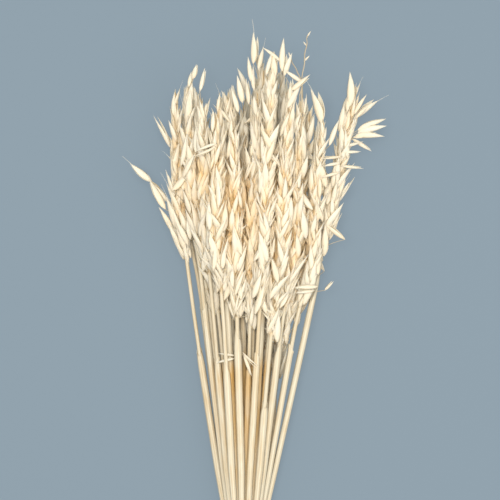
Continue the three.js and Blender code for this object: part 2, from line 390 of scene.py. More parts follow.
class MeshBuilder:
    """Gathers many closed shapes into one mesh."""

    def __init__(self) -> None:
        """Starts empty."""
        self.points: list[np.ndarray] = []
        self.quads: list[np.ndarray] = []
        self.triangles: list[np.ndarray] = []
        self.grain: list[np.ndarray] = []
        self.tint: list[np.ndarray] = []
        self.count = 0

    def add(self, points: np.ndarray, shape: Shape, tints: np.ndarray, own: np.ndarray) -> None:
        """Adds copies of a shape, each with points of its own.

        Args:
            points: The copies' points, as (copy, point, axis).
            shape: The faces and grain that they share.
            tints: Each copy's share of the warm colour.
            own: Each copy's number in 0 to 1, which sets its streaks.
        """
        copies, each = points.shape[:2]
        offsets = self.count + each * np.arange(copies)[:, None, None]
        self.points.append(points.reshape(-1, 3))
        self.quads.append((shape.quads[None] + offsets).reshape(-1, 4))
        self.triangles.append((shape.triangles[None] + offsets).reshape(-1, 3))
        grain = np.broadcast_to(shape.grain, (copies, each, 2))
        numbers = np.broadcast_to(own[:, None, None], (copies, each, 1))
        self.grain.append(np.concatenate([grain, numbers], axis=2).reshape(-1, 3))
        self.tint.append(np.repeat(tints, each))
        self.count += copies * each

    def tubes(
        self, paths: np.ndarray, radii: np.ndarray, sides: int, tints: np.ndarray, own: np.ndarray
    ) -> None:
        """Adds round tubes with pointed ends.

        Args:
            paths: Each tube's points, as (tube, step, axis).
            radii: Each tube's radii, as (tube, step).
            sides: Points in a ring.
            tints: Each tube's share of the warm colour.
            own: Each tube's number in 0 to 1.
        """
        forward = unit(np.gradient(paths, axis=1))
        reference = np.where(np.abs(forward[..., 2:]) > 0.9, [1.0, 0.0, 0.0], [0.0, 0.0, 1.0])
        normal = unit(reference - (reference * forward).sum(-1, keepdims=True) * forward)
        binormal = np.cross(normal, forward)
        angle = circle(sides)
        ring = np.cos(angle)[:, None] * normal[:, :, None] + np.sin(angle)[:, None] * binormal[:, :, None]
        rings = paths[:, :, None] + radii[:, :, None, None] * ring
        start = paths[:, :1] - forward[:, :1] * radii[:, :1, None] * 0.5
        end = paths[:, -1:] + forward[:, -1:] * radii[:, -1:, None]
        points = np.concatenate([start, rings.reshape(len(paths), -1, 3), end], axis=1)
        steps = paths.shape[1]
        quads, triangles = loft_faces(steps, sides)
        grain = grain_of(angle / math.pi - 1, np.linspace(0, 1, steps)).reshape(-1, 2)
        grain = np.concatenate([[[0.0, 0.0]], grain, [[0.0, 1.0]]])
        self.add(points, Shape(points[0], quads, triangles, grain), tints, own)

    def finish(
        self,
        name: str,
        material: bpy.types.Material,
        pile: "Pile | None" = None,
        line: "StalkLine | None" = None,
    ) -> bpy.types.Object:
        """Writes the mesh, in metres, with nothing below the table's surface.

        Args:
            name: The object's name.
            material: Its finish.
            pile: What it lies in, if its painted golden shade goes by that.
            line: The stalk that it belongs to, given with the pile.

        Returns:
            The new object, linked to the scene.
        """
        points = np.concatenate(self.points)
        points[:, 2] = np.maximum(points[:, 2], FLOOR_CLEARANCE)
        mesh = bpy.data.meshes.new(name)
        faces = np.concatenate(self.quads).tolist() + np.concatenate(self.triangles).tolist()
        mesh.from_pydata((points * MM).tolist(), [], faces)
        mesh.polygons.foreach_set("use_smooth", np.ones(len(mesh.polygons), bool))
        attributes = {"grain": np.concatenate(self.grain), "tint": np.concatenate(self.tint)}
        # Each point's share of the painted golden shade.
        if pile:
            attributes["painted_shade_share"] = pile.painted_shade_share(points, line)
        for key, values in attributes.items():
            kind, entry = ("FLOAT_VECTOR", "vector") if values.ndim == 2 else ("FLOAT", "value")
            data = mesh.attributes.new(key, kind, "POINT").data
            data.foreach_set(entry, values.astype(np.float32).ravel())
        mesh.materials.append(material)
        mesh.update()
        piece = bpy.data.objects.new(name, mesh)
        bpy.context.scene.collection.objects.link(piece)
        return piece


# ---- One stalk, as the frame has it ----


def band_corners() -> tuple[np.ndarray, np.ndarray]:
    """The lowest and the highest corner of the elastic band's solid."""
    low, high = (np.array(corner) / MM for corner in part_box(BAND))
    return low, high


@dataclass
class StalkLine:
    """A stalk's middle line and girth, read off its solid in level cuts across the bundle.

    A branch that stands out of the head is cut as well, and is kept apart as the spray.
    """

    node: str
    solid: bpy.types.Object
    step: float = 3.0
    lowest_cut: float = 0.2  # above the cut end
    highest_cut: float = 1.0  # below the tip
    stoutest_straw: float = 2.375  # bare straw is thinner than this, and sheaths and heads are not
    widest_cut: float = 2.6  # what is wider than so many radii has the spray in it
    head_reach: float = 1.15  # what is further off the head than so many radii is the spray
    heights: np.ndarray = field(init=False)
    middles: np.ndarray = field(init=False)
    radii: np.ndarray = field(init=False)
    spray: np.ndarray = field(init=False)

    def __post_init__(self) -> None:
        """Cuts the solid and follows its line upwards."""
        mesh = self.solid.data
        points = np.array([v.co for v in mesh.vertices]) / MM
        edges = np.array([e.vertices for e in mesh.edges])
        first, second = points[edges[:, 0]], points[edges[:, 1]]
        low, high = points[:, 1].min(), points[:, 1].max()
        self.heights = np.arange(low + self.lowest_cut, high - self.highest_cut, self.step)
        middles, radii, spray = [], [], []
        for height in self.heights:
            crossing = (first[:, 1] - height) * (second[:, 1] - height) < 0
            a, b = first[crossing], second[crossing]
            cut = a + (b - a) * ((height - a[:, 1]) / (b[:, 1] - a[:, 1]))[:, None]
            least, most = cut.min(axis=0), cut.max(axis=0)
            middle, radius = (least + most) / 2, (most[2] - least[2]) / 2
            if most[0] - least[0] > self.widest_cut * radius:
                # The spray makes the cut wide. The head is the side that goes on from the cut before.
                sides = np.array([least[0] + radius, most[0] - radius])
                middle[0] = sides[np.argmin(np.abs(sides - middles[-1][0]))]
                away = np.linalg.norm((cut - middle)[:, [0, 2]], axis=1) > radius * self.head_reach
                spray.append(cut[away].mean(axis=0))
            middles.append(middle)
            radii.append(radius)
        self.middles, self.radii, self.spray = np.array(middles), np.array(radii), np.array(spray)

    def middle(self, heights: np.ndarray) -> np.ndarray:
        """The line's points at some heights, straight up and down past its ends."""
        points = between(heights, self.heights, self.middles)
        points[:, 1] = heights
        return points

    def radius(self, heights: np.ndarray) -> np.ndarray:
        """The solid's radii at some heights."""
        return np.interp(heights, self.heights, self.radii)

    def at(self, height: float) -> tuple[np.ndarray, float]:
        """The line's point and the solid's radius at one height."""
        here = np.array([height])
        return self.middle(here)[0], self.radius(here)[0]

    @property
    def cut(self) -> float:
        """Where the stalk was cut."""
        return float(self.heights[0])

    @property
    def tip(self) -> float:
        """Where the head ends."""
        return float(self.heights[-1])

    @property
    def head(self) -> float:
        """Where the head begins: the last place where the stalk is still as thin as straw."""
        stout = int(np.argmax(self.radii))
        thin = np.nonzero(self.radii[:stout] < self.stoutest_straw)[0]
        return float(self.heights[thin[-1]])

    def collar(self, above: float) -> float:
        """Where the sheath ends, looked for above a height."""
        bare = (self.heights > above) & (self.radii < self.stoutest_straw)
        return float(self.heights[np.argmax(bare)])

    def joint(self, below: float) -> float:
        """Where the stem's joint is, looked for below a height."""
        lower = self.heights < below
        return float(self.heights[np.argmax(np.where(lower, self.radii, 0))])


class Pile:
    """All stalks where they lie, and how far inside them a point is, which sets its painted golden shade."""

    cell = 4.0
    margin = 32.0  # of empty cells round the stalks
    blur = 8.0  # how far round a point counts, one standard deviation
    # Painted golden shade: none where the space round a point is as full as open_share, all of it at
    # buried_share.
    open_share = 0.33  # how full the space round a point in the open is
    buried_share = 0.75  # and round one that gets all of the painted shade
    emptiest = 0.05  # a level with less in it than this counts as this full
    own_depth = 0.8  # how much more painted shade a point on a head's own axis gets
    past_tip = 40.0  # how far above its tip a stalk still carries what hangs apart
    steepness = 4.0  # how much higher a stalk has to lie for each millimetre that it is further off

    def __init__(self, lines: list[StalkLine]) -> None:
        """Fills a grid of cells with the stalks and blurs it."""
        self.lines = lines
        middles = np.concatenate([line.middles for line in lines])
        self.low = middles.min(axis=0) - self.margin
        counts = np.ceil((middles.max(axis=0) + self.margin - self.low) / self.cell).astype(int)
        across, up = (self.low[axis] + self.cell * (np.arange(counts[axis]) + 0.5) for axis in (0, 2))
        full = np.zeros(counts)
        for k in range(counts[1]):
            height = self.low[1] + self.cell * (k + 0.5)
            for line in lines:
                if line.cut < height < line.tip:
                    middle, radius = line.at(height)
                    apart = np.hypot(across[:, None] - middle[0], up[None, :] - middle[2])
                    full[:, k] += np.clip((radius - apart) / self.cell + 0.5, 0, 1)
        frequencies = (np.fft.fftfreq(count, self.cell) for count in counts)
        waves = np.meshgrid(*frequencies, indexing="ij", sparse=True)
        smooth = np.exp(-2 * (math.pi * self.blur) ** 2 * sum(wave**2 for wave in waves))
        self.share = np.fft.ifftn(np.fft.fftn(np.minimum(full, 1)) * smooth).real
        self.fullest = self.share.max(axis=(0, 2))
        self.highest = max(float((line.middles[:, 2] + line.radii).max()) for line in lines)

    def painted_shade_share(self, points: np.ndarray, line: StalkLine) -> np.ndarray:
        """How far inside the pile and their own stalk's head points lie: 0 in the open, 1 well inside.

        Args:
            points: Any points.
            line: The stalk that they belong to.

        Returns:
            One value for each point: its share of the painted golden shade.
        """
        place = np.clip(((points - self.low) / self.cell).astype(int), 0, np.array(self.share.shape) - 1)
        share = self.share[tuple(place.T)]
        heights = points[:, 1]
        # Straws stand apart, so among them only the middle of the bundle gets painted shade.
        loose = share / np.maximum(self.fullest[place[:, 1]], self.emptiest)
        share = np.where(heights > line.head, share, 0.5 * loose + 0.3 * loose**4)
        among = (share - self.open_share) / (self.buried_share - self.open_share)
        apart = np.linalg.norm((points - line.middle(heights))[:, [0, 2]], axis=1)
        inside = np.where(heights > line.head, 1 - apart / line.radius(heights), 0)
        return np.clip(np.clip(among, 0, 1) + self.own_depth * np.clip(inside, 0, 1), 0, 1)

    def stalk_at(self, x: float, y: float) -> StalkLine:
        """The stalk seen from above at a place: the highest one there, or else the closest."""

        def merit(line: StalkLine) -> float:
            """How high it lies, less the more the further off it is."""
            middle, radius = line.at(y)
            return middle[2] - self.steepness * max(abs(middle[0] - x) - radius, 0)

        near = (line for line in self.lines if line.cut < y < line.tip + self.past_tip)
        return max(near, key=merit, default=self.lines[0])

    def top(self, x: float, y: float) -> float:
        """How high the pile reaches at a place."""
        middle, radius = self.stalk_at(x, y).at(y)
        return float(middle[2] + math.sqrt(max(radius**2 - (middle[0] - x) ** 2, 0)))


# ---- Straws ----


# Rings where a sheath closes in on the straw, as shares of that length below its end: closer towards the lip.
MOUTH_STEPS = np.array([0.9, 0.6, 0.35, 0.18, 0.06, 0.0])


@dataclass
class Straw:
    """One stem: hollow at its cut, jointed, in a leaf sheath up to its collar, and on up through the head."""

    line: StalkLine
    band_low: float
    band_high: float
    number: int
    sides: int = 18
    step: float = 6.0
    joint_step: float = 2.5  # rings are closer together up to the joint
    head_rings: int = 26
    bore: float = 0.58  # share of the stem's radius that is hollow
    bore_depth: float = 9.0
    cut_slant: float = 0.35
    cut_bevel: float = 0.97  # share of the stem's radius at the very cut
    tip_short: float = 10.0  # how far below the head's tip the stem ends
    inner_radius: float = 2.15  # of the stem inside its sheath
    rachis_radius: float = 1.15  # where the stem becomes the head's axis
    rachis_tip: float = 0.35
    sheath_wall: float = 0.35
    sheath_gap: float = 0.12  # between the stem and a sheath's mouth
    sheath_above_joint: float = 1.5
    sheath_overlap: float = 0.14  # how far one edge stands over the other, as a share of the sheath's radius
    mouth: float = 14.0  # length over which the sheath closes in on the straw at its mouth
    ligule: float = 4.5  # how far the sheath's lip stands up on one side
    flute: float = 0.025  # depth of the lengthwise ribs, as a share of the radius

    def build(self, mesh: MeshBuilder) -> None:
        """Adds the stem and its sheath.

        Args:
            mesh: Where they go.
        """
        rng = np.random.default_rng(4100 + self.number)
        joint, collar = self.line.joint(self.band_low), self.line.collar(self.band_high)
        tint = float(rng.uniform(0.1, 0.5))
        self._stem(mesh, joint, tint, rng)
        self._sheath(mesh, joint + self.sheath_above_joint, collar, tint * 0.8, rng)

    def _ring(self, height: np.ndarray, radius: np.ndarray, slant: np.ndarray, turn: float) -> np.ndarray:
        """Rings of fluted section round the line.

        Args:
            height: Each ring's height.
            radius: Each ring's radius.
            slant: How far each ring's points rise on one side.
            turn: Where round the stem that side is.

        Returns:
            Points as (ring, side, axis).
        """
        angle = circle(self.sides)
        section = around(angle, 1 + self.flute * np.cos(self.sides / 2 * angle))
        rings = self.line.middle(height)[:, None] + radius[:, None, None] * section
        rings[:, :, 1] += slant[:, None] * np.cos(angle - turn)
        return rings

    def _grain(self, heights: np.ndarray) -> np.ndarray:
        """Place on the grain for rings at some heights: round the stem, and along it in shares of 60 mm."""
        return grain_of(np.linspace(-1, 1, self.sides, endpoint=False), heights / 60)

    def _stem(self, mesh: MeshBuilder, joint: float, tint: float, rng: np.random.Generator) -> None:
        """Adds the stem, from the bottom of its bore, out round the cut and up to the head's tip.

        Args:
            mesh: Where it goes.
            joint: The height of its joint.
            tint: Its share of the warm colour.
            rng: The stalk's random numbers.
        """
        head, tip = self.line.head, self.line.tip
        wall = np.array([self.line.cut + self.bore_depth, self.line.cut + 0.4, self.line.cut])
        inside = self.line.radius(wall) * self.bore
        heights = np.concatenate([
            np.arange(self.line.cut + 0.3, joint + 4, self.joint_step),
            np.arange(joint + 6, head, self.step),
            np.linspace(head, tip - self.tip_short, self.head_rings),
        ])
        solid = self.line.radius(heights)
        share = np.clip((heights - head) / (tip - head), 0, 1)
        rachis = self.rachis_radius + (self.rachis_tip - self.rachis_radius) * share
        outside = np.where(heights < joint + 3, solid, np.minimum(solid, self.inner_radius))
        outside = np.where(heights > head, np.minimum(outside, rachis), outside)
        # Where the stem turns into the rachis it tapers, without a step.
        outside = np.convolve(np.pad(outside, 1, mode="edge"), [0.25, 0.5, 0.25], mode="valid")
        outside[0] = solid[0] * self.cut_bevel
        every = np.concatenate([wall, heights])
        # The cut is a little aslant, inside and out, and the slant dies away above it.
        slant = self.cut_slant * np.exp(-(every - self.line.cut) / 3)
        slant[:2] = 0.0, slant[2]
        rings = self._ring(every, np.concatenate([inside, outside]), slant, float(rng.uniform(0, 6.28)))
        bottom = self.line.middle(np.array([wall[0] - 0.6]))[0]
        top = self.line.middle(np.array([heights[-1] + 1.5]))[0]
        shape = loft(rings, bottom, top, self._grain(every))
        mesh.add(shape.points[None], shape, np.array([tint]), rng.uniform(size=1))

    def _sheath(
        self, mesh: MeshBuilder, low: float, high: float, tint: float, rng: np.random.Generator
    ) -> None:
        """Adds the leaf sheath: a skin rolled one edge over the other, with a lip on one side at its mouth.

        Args:
            mesh: Where it goes.
            low: Its lower end.
            high: Its upper end.
            tint: Its share of the warm colour.
            rng: The stalk's random numbers.
        """
        mouth = high - self.mouth * MOUTH_STEPS
        heights = np.concatenate([np.arange(low, high - self.mouth, self.step), mouth])
        outer = np.maximum(self.line.radius(heights), self.inner_radius + self.sheath_wall + 0.1)
        outer[0] *= 0.9
        hug = np.clip((heights - high + self.mouth) / self.mouth, 0, 1) ** 1.5
        outer += hug * (self.inner_radius + self.sheath_wall + self.sheath_gap - outer)
        # Up the outside and back down the inside.
        both_ways = np.concatenate([heights, heights[::-1]])
        radius = np.concatenate([outer, outer[::-1] - self.sheath_wall])
        turn = float(rng.uniform(0, FULL_TURN))
        rings = self._ring(both_ways, radius, self.ligule * np.concatenate([hug, hug[::-1]]) ** 2, turn)
        spiral = self.sheath_overlap * (((circle(self.sides) - turn - math.pi) / FULL_TURN) % 1 - 0.5)
        middle = self.line.middle(both_ways)[:, None]
        rings += (rings - middle) * np.array([1.0, 0.0, 1.0]) * spiral[None, :, None]
        quads, triangles = loft_faces(len(rings), self.sides, wrapped=True)
        points = rings.reshape(-1, 3)
        shape = Shape(points, quads, triangles, self._grain(both_ways).reshape(-1, 2))
        mesh.add(points[None], shape, np.array([tint]), rng.uniform(size=1))


# ---- Husks ----


class Gape(Enum):
    """How far a spikelet's two glumes have opened, in degrees at their foot."""

    CLOSED = 3.0
    AJAR = 7.0
    OPEN = 12.0


@dataclass
class Spikelet:
    """One spikelet, foot at the origin and pointing along +Y: two boat-shaped glumes round its florets.

    Sizes are shares of its length where they say so, and millimetres for a spikelet of 25 mm otherwise.
    """

    gape: Gape
    florets: int = 1
    awned: bool = False
    length: float = 25.0
    half_width: float = 2.95
    depth: float = 1.9  # from the middle to the back of a glume
    widest: float = 0.38  # share of the length
    wall: float = 0.22
    flatter: float = 0.85  # how deep a glume's curve is for its width
    rings: int = 9
    outer_points: int = 7
    inner_points: int = 4
    floret_foot: float = 0.08  # share of the length
    floret_length: float = 0.7  # share of the length
    floret_radius: float = 1.25
    floret_sides: int = 8
    awn_root: float = 0.4  # how far up the spikelet it starts, as a share of the length
    awn_length: float = 0.95  # share of the length
    awn_knee: float = 0.45  # where it bends outwards, as a share of its own length
    awn_radius: float = 0.24
    awn_sides: int = 4

    def shapes(self) -> list[Shape]:
        """The spikelet's closed shapes.

        Returns:
            Both glumes, the florets and, on an awned spikelet, the awn.
        """
        found = [self._glume(+1, 1.0), self._glume(-1, 0.93)]
        found += [self._floret(+1 if k == 0 else -1) for k in range(self.florets)]
        if self.awned:
            found.append(self._awn())
        return found

    def _outline(self, along: np.ndarray) -> np.ndarray:
        """A glume's width at shares of its length: full below the middle, drawn out to a fine point."""
        low = np.sin(np.clip(along / self.widest, 0, 1) * math.pi / 2) ** 0.6
        high = np.cos(np.clip((along - self.widest) / (1 - self.widest), 0, 1) * math.pi / 2) ** 1.15
        return np.where(along < self.widest, low, high)

    def _glume(self, face: int, size: float) -> Shape:
        """One glume: a thin skin with a crescent section, bowed outwards and open towards its tip.

        Args:
            face: +1 for the outer glume, -1 for the inner.
            size: Its length as a share of the spikelet's.

        Returns:
            The closed skin.
        """
        along = np.linspace(0.02, 0.975, self.rings)
        width = self.half_width * self._outline(along)
        wrap = np.radians(np.interp(along, [0, 0.4, 1], [100, 84, 42]))
        radius = width / np.sin(np.minimum(wrap, math.pi / 2))
        opened = math.tan(math.radians(self.gape.value)) * along**1.3 * self.length
        back = self.depth * np.sin(math.pi * along**0.72) ** 0.8 + opened
        # Round the outside of the crescent, and back along its inside.
        outside, inside = np.linspace(1, -1, self.outer_points), np.linspace(-0.96, 0.96, self.inner_points)
        share = np.concatenate([outside, inside])
        skin = np.concatenate([np.zeros(self.outer_points), np.full(self.inner_points, self.wall)])
        angle = share[None, :] * wrap[:, None]
        reach = np.maximum(radius[:, None] - skin[None, :], radius[:, None] * 0.4)
        x = reach * np.sin(angle)
        z = back[:, None] - radius[:, None] * self.flatter + reach * np.cos(angle) * self.flatter
        y = np.broadcast_to((along * size * self.length)[:, None], x.shape)
        rings = np.stack([x * face, y, z * face], axis=-1)
        foot = np.array([0.0, 0.0, 0.2 * face])
        tip = np.array([0.0, size * self.length, face * (back[-1] + 0.1)])
        return loft(rings, foot, tip, grain_of(share, along))

    def _floret(self, face: int) -> Shape:
        """A floret: a slim closed grain of husk between the glumes, leaning to one of them."""
        along = np.array([0.04, 0.14, 0.35, 0.6, 0.8, 0.93])
        radius = self.floret_radius * np.sin(math.pi * along**0.8) ** 0.75
        angle = circle(self.floret_sides)
        opened = math.tan(math.radians(self.gape.value * 0.5))
        lean = face * (0.45 + opened * along * self.length * self.floret_length)
        x = radius[:, None] * np.cos(angle)[None, :] * 1.15
        z = radius[:, None] * np.sin(angle)[None, :] + lean[:, None]
        y = np.broadcast_to((self.floret_foot + along * self.floret_length)[:, None] * self.length, x.shape)
        rings = np.stack([x, y, z], axis=-1)
        foot = np.array([0.0, self.floret_foot * self.length, lean[0]])
        tip = np.array([0.0, (self.floret_foot + 0.01 + self.floret_length) * self.length, lean[-1] * 1.05])
        return loft(rings, foot, tip, grain_of(angle / math.pi - 1, along))

    def _awn(self) -> Shape:
        """The awn: a bristle from the floret's back, with a slight knee."""
        share = np.linspace(0, 1, 7)
        path = np.stack([
            0.4 * np.sin(share * 3.0),
            self.length * (self.awn_root + share * self.awn_length),
            1.4 + share * 1.4 + 3.2 * np.maximum(share - self.awn_knee, 0),
        ], axis=-1)
        radius = self.awn_radius * (1 - 0.72 * share)
        rings = path[:, None] + radius[:, None, None] * around(circle(self.awn_sides))[None]
        grain = grain_of(np.zeros(self.awn_sides), share)
        return loft(rings, path[0] - [0, 0.3, 0], path[-1] + [0, 0.6, 0], grain)


class Kind(Enum):
    """The kinds of spikelet in the bundle, each with its share of them."""

    CLOSED = (0.36, Spikelet(Gape.CLOSED))
    AJAR = (0.26, Spikelet(Gape.AJAR, florets=2))
    OPEN = (0.12, Spikelet(Gape.OPEN, florets=2, half_width=3.1))
    SLIM = (0.16, Spikelet(Gape.CLOSED, half_width=2.3, depth=1.6))
    AWNED = (0.10, Spikelet(Gape.AJAR, awned=True))
    HUSK = (0.0, Spikelet(Gape.CLOSED, florets=0, half_width=1.5, depth=0.9))  # an empty one, never at random

    @property
    def share(self) -> float:
        """Its share of all spikelets."""
        return self.value[0]

    @property
    def spikelet(self) -> Spikelet:
        """Its shape."""
        return self.value[1]


@dataclass
class Sprig:
    """Where spikelets sit: feet, directions, outward sides, lengths, branchlet roots, girths and kinds."""

    feet: np.ndarray
    directions: np.ndarray
    outward: np.ndarray
    lengths: np.ndarray
    roots: np.ndarray
    girths: np.ndarray
    kinds: list[Kind]

    @staticmethod
    def joined(parts: list["Sprig"]) -> "Sprig":
        """All of them as one."""
        names = ("feet", "directions", "outward", "lengths", "roots", "girths")
        arrays = (np.concatenate([getattr(part, name) for part in parts]) for name in names)
        return Sprig(*arrays, [kind for part in parts for kind in part.kinds])


@dataclass
class Panicle:
    """One seed head: spikelets set spirally on branchlets pressed up against the rachis."""

    line: StalkLine
    number: int
    per_mm: float = 0.47  # spikelets for each millimetre of head
    fullness: tuple[float, float] = (0.88, 1.12)  # share of that number that one head has, least and most
    lowest: float = 0.8  # how far above the head's foot the first tip is, as a share of a spikelet
    spikelet: float = 27.0
    spikelet_spread: float = 0.15
    lean: float = 13.0  # degrees between a spikelet and the rachis
    lean_spread: float = 5.0
    top_height: float = 60.0  # of the head's top, where spikelets get smaller and stand closer to the rachis
    top_size: float = 0.82  # how large they are at the very tip
    top_lean: float = 0.35  # and how much they lean there
    sway: float = 7.0  # degrees that they turn sideways
    floor_room: float = 2.2  # how far above the table feet lie
    stray_share: float = 0.035
    stray_lean: float = 42.0
    stray_rise: float = 0.35  # strays lean sideways rather than up off the table
    branch_low: float = 12.0
    branch_high: float = 46.0
    branch_radius: float = 0.42
    tip_reach: tuple[float, float] = (0.62, 1.12)  # how far out tips are, as a share of the solid's radius
    husk_proud: float = 2.2  # how far they stand out of the solid, at most, past that
    girths: tuple[float, float] = (0.88, 1.16)  # least and most, as a share of the usual
    twist: float = 0.5  # radians that spikelets turn about their own axis, one standard deviation
    bend: float = 0.0035  # how strongly they curve, per millimetre, likewise
    most_bend: float = 0.006
    most_bend_up: float = 0.0025
    spray_awn: float = 9.0  # how far the awn at a spray's tip stands out of its husk
    ceiling: float = math.inf  # what no foot or tip lies above
    extra: list[Sprig] = field(default_factory=list)

    def build(self, husks: MeshBuilder, straws: MeshBuilder) -> None:
        """Adds the head.

        Args:
            husks: Where spikelets go.
            straws: Where branchlets go.
        """
        rng = np.random.default_rng(7300 + self.number)
        parts = [self._spiral(rng), *self.extra]
        if len(self.line.spray):
            parts.append(self._spray(straws))
        sprig = Sprig.joined(parts)
        self._spikelets(husks, sprig, rng)
        self._branchlets(straws, sprig, rng)

    def _spiral(self, rng: np.random.Generator) -> Sprig:
        """Places the head's own spikelets, their tips on the solid's skin, denser where it is stout."""
        head, tip = self.line.head, self.line.tip
        count = int(round(self.per_mm * (tip - head) * rng.uniform(*self.fullness)))
        levels = np.linspace(head + self.spikelet * self.lowest, tip, 400)
        weight = np.cumsum(self.line.radius(levels) ** 0.7 + 1.0)
        share = (np.arange(count) + rng.uniform(0.1, 0.9, count)) / count
        height = np.interp(share * weight[-1], weight, levels)
        azimuth = np.arange(count) * GOLDEN_ANGLE + rng.normal(0, 0.45, count) + rng.uniform(0, 6)
        out = around(azimuth)
        side = np.cross(out, [0.0, 1.0, 0.0])
        lengths = self.spikelet * (1 + rng.normal(0, self.spikelet_spread, count).clip(-0.3, 0.35))
        below_top = np.clip((tip - height) / self.top_height, 0, 1)
        lengths *= self.top_size + (1 - self.top_size) * below_top
        lean = rng.normal(self.lean, self.lean_spread, count).clip(2, 30)
        lean *= self.top_lean + (1 - self.top_lean) * below_top
        stray = rng.uniform(size=count) < self.stray_share
        lean = np.radians(np.where(stray, self.stray_lean * rng.uniform(0.7, 1.4, count), lean))
        out[stray, 2] *= self.stray_rise
        sway = np.radians(rng.normal(0, self.sway, count))
        forward = unit(self.line.middle(height + 4) - self.line.middle(height - 4))
        directions = unit(
            forward * np.cos(lean)[:, None] + out * np.sin(lean)[:, None] + side * np.sin(sway)[:, None]
        )
        skin = self.line.radius(height) * rng.uniform(*self.tip_reach, count)
        skin += rng.uniform(0, self.husk_proud, count)
        tips = self.line.middle(height) + out * skin[:, None]
        feet = tips - directions * lengths[:, None]
        for end, room in ((0.0, self.floor_room), (1.0, 1.0)):  # first each foot, then each tip
            level = feet[:, 2] + end * directions[:, 2] * lengths
            feet[:, 2] += np.maximum(0, room - level) - np.maximum(0, level - self.ceiling)
        below = rng.uniform(self.branch_low, self.branch_high, count)
        roots = self.line.middle(np.maximum(feet[:, 1] - below, head))
        kinds = rng.choice(list(Kind), count, p=[kind.share for kind in Kind])
        return Sprig(feet, directions, out, lengths, roots, rng.uniform(*self.girths, count), list(kinds))

    def _spray(self, straws: MeshBuilder) -> Sprig:
        """Places spikelets along the drooping branch of the solid, an awned one at its tip."""
        root = self.line.middle(self.line.spray[:1, 1] - self.branch_high)
        path = np.concatenate([root, self.line.spray])
        run = np.concatenate([[0], np.cumsum(np.linalg.norm(np.diff(path, axis=0), axis=1))])
        lengths = np.array([self.spikelet, self.spikelet * 0.9, self.spikelet * 0.85])
        tips = run[-1] - np.array([self.spray_awn, 0.36 * run[-1], 0.6 * run[-1]])
        feet = between(np.maximum(tips - lengths, 0), run, path)
        bare = path[run < tips[0] - lengths[0] / 2]
        radii = np.full((1, len(bare)), self.branch_radius)
        straws.tubes(bare[None], radii, 5, np.array([0.4]), np.array([0.5]))
        up = np.tile([0.0, 0.0, 1.0], (3, 1))
        roots = between(np.maximum(tips - lengths - self.branch_low, 0), run, path)
        directions = unit(between(tips, run, path) - feet)
        girths = np.array([1.05, 0.95, 0.9])
        return Sprig(feet, directions, up, lengths, roots, girths, [Kind.AWNED, Kind.CLOSED, Kind.SLIM])

    def _spikelets(self, husks: MeshBuilder, sprig: Sprig, rng: np.random.Generator) -> None:
        """Copies the spikelet kinds onto their places, each turned, bent and sized on its own."""
        count = len(sprig.feet)
        twist = rng.normal(0, self.twist, count)
        bend = rng.normal(0, self.bend, (count, 2)).clip(-self.most_bend, [self.most_bend, self.most_bend_up])
        tints = np.clip(rng.beta(2.0, 3.4, count), 0, 1)
        own = rng.uniform(size=count)
        sideways = unit(np.cross(sprig.directions, sprig.outward))
        facing = unit(np.cross(sideways, sprig.directions))
        across = sideways * np.cos(twist)[:, None] + facing * np.sin(twist)[:, None]
        facing = unit(np.cross(across, sprig.directions))
        for kind in Kind:
            chosen = np.array([own_kind is kind for own_kind in sprig.kinds])
            if not chosen.any():
                continue
            size = (sprig.lengths[chosen] / kind.spikelet.length)[:, None]
            girth = sprig.girths[chosen, None]
            for shape in kind.spikelet.shapes():
                x, y, z = (shape.points[None, :, axis] for axis in range(3))
                x = x * size * girth + bend[chosen, :1] * (y * size) ** 2
                z = z * size * girth + bend[chosen, 1:] * (y * size) ** 2
                y = y * size
                points = (
                    sprig.feet[chosen, None]
                    + x[..., None] * across[chosen, None]
                    + y[..., None] * sprig.directions[chosen, None]
                    + z[..., None] * facing[chosen, None]
                )
                husks.add(points, shape, tints[chosen], own[chosen])

    def _branchlets(self, straws: MeshBuilder, sprig: Sprig, rng: np.random.Generator) -> None:
        """Adds the thin branchlet that carries each spikelet up from the rachis."""
        count, steps = len(sprig.feet), 6
        share = np.linspace(0, 1, steps)[None, :, None]
        # A branchlet runs up beside the rachis first, and then out to the spikelet's foot.
        knee = sprig.roots + (sprig.feet - sprig.roots) * [0.25, 0.62, 0.25]
        start, knee, end = sprig.roots[:, None], knee[:, None], sprig.feet[:, None]
        paths = (1 - share) ** 2 * start + 2 * share * (1 - share) * knee + share**2 * end
        taper = self.branch_radius * np.linspace(1.0, 0.62, steps)[None, :]
        radii = taper * rng.uniform(0.8, 1.25, (count, 1))
        straws.tubes(paths, radii, 4, rng.uniform(0.2, 0.7, count), rng.uniform(size=count))


@dataclass(frozen=True)
class Loose:
    """A spikelet that hangs apart: its foot and its tip, each across and along from the band's middle."""

    foot: tuple[float, float]
    tip: tuple[float, float]
    kind: Kind = Kind.SLIM
    girth: float = 1.0


@dataclass(frozen=True)
class Twig:
    """A bare twig with a few buds that never filled: its bends, and the foot and tip of each bud."""

    bends: tuple[tuple[float, float], ...]
    buds: tuple[Loose, ...]


# Husks burst open low between the straws.
LOW_HUSKS = (
    Loose((-10, 165), (-28, 162), Kind.HUSK),
    Loose((-10, 168), (-25, 170), Kind.HUSK, 0.8),
    Loose((-2, 171), (12, 155), Kind.HUSK),
    Loose((-1, 169), (7, 148), Kind.HUSK, 1.1),
    Loose((32, 204), (18, 213), Kind.HUSK),
    Loose((30, 195), (17, 209), Kind.HUSK),
    Loose((31, 191), (18, 194), Kind.HUSK, 0.6),
    Loose((69, 233), (45, 232), Kind.CLOSED, 0.8),
    Loose((66, 229), (47, 227)),
    Loose((76, 229), (85, 238), Kind.HUSK),
)
